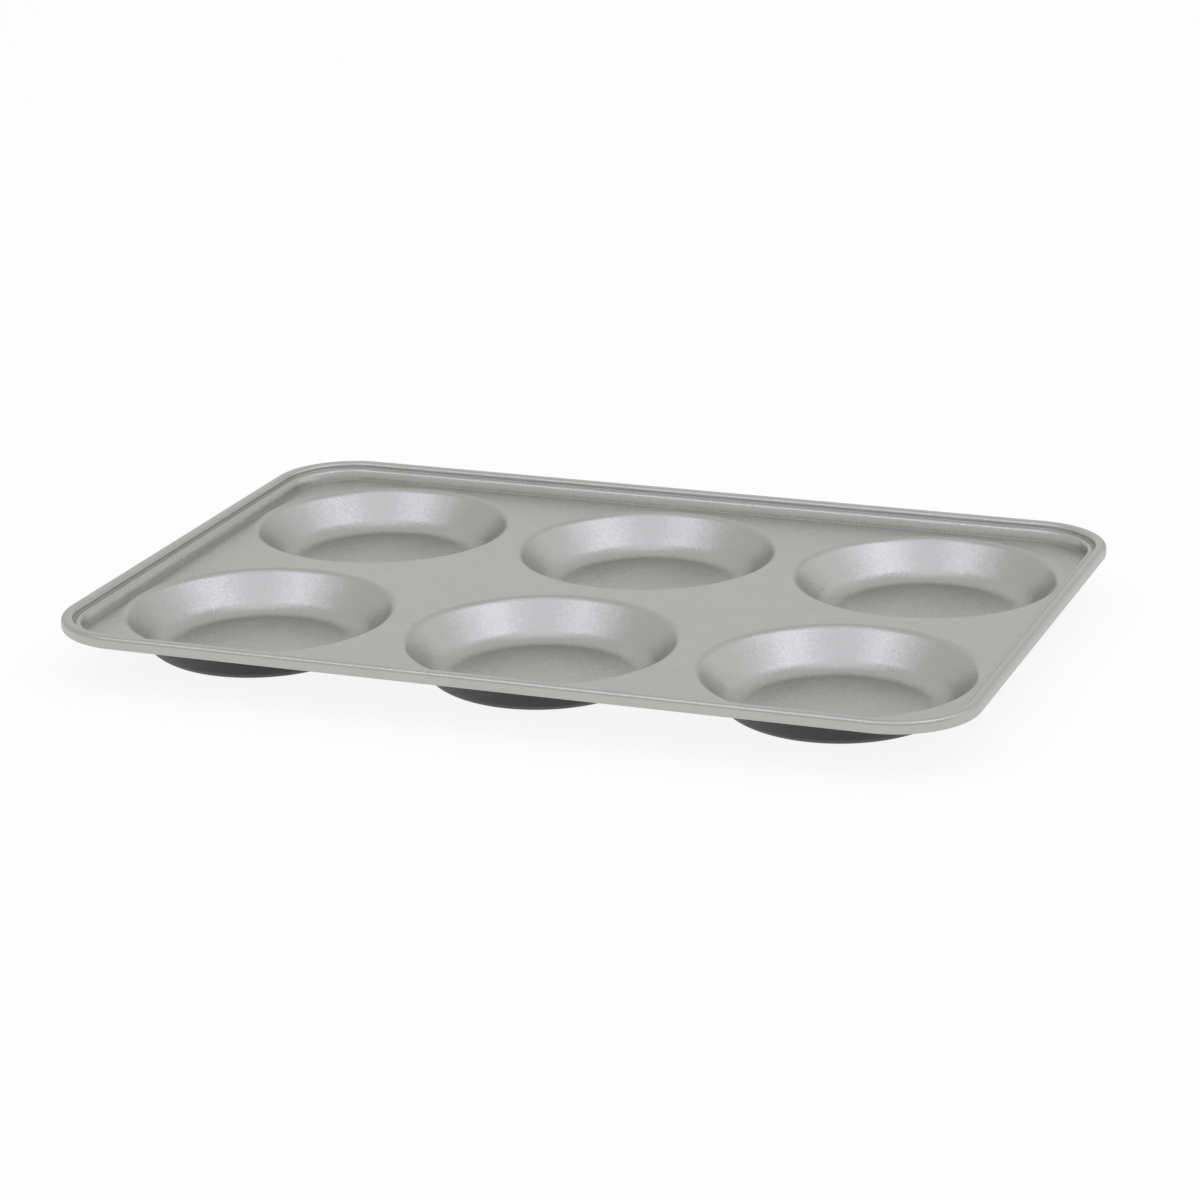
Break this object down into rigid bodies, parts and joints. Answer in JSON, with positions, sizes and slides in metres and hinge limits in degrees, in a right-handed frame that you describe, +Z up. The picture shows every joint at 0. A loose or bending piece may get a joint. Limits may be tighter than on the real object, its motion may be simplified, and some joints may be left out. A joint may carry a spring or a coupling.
{
  "type": "pudding tray",
  "caption": "Rectangular sheet-steel baking tray with wide, shallow round cups, a raised border and a wired, rolled rim.",
  "frame": {"origin": "middle of the plane that the undersides of the cups stand on", "axes": "+X along the tray's long side, +Y towards its back edge, +Z up out of the cups"},
  "size_m": [0.35, 0.245, 0.0215],
  "materials": {
    "release_coat": "satin silver-grey release coat with a fine metallic flake",
    "wire_steel": "drawn steel wire"
  },
  "bodies": {
    "root": {"deck_panel": "release_coat", "cup_back_left": "release_coat", "cup_back_middle": "release_coat", "cup_back_right": "release_coat", "cup_front_left": "release_coat", "cup_front_middle": "release_coat", "cup_front_right": "release_coat", "border_wall": "release_coat", "rolled_rim": "release_coat", "rim_wire": "wire_steel"}
  },
  "joints": []
}
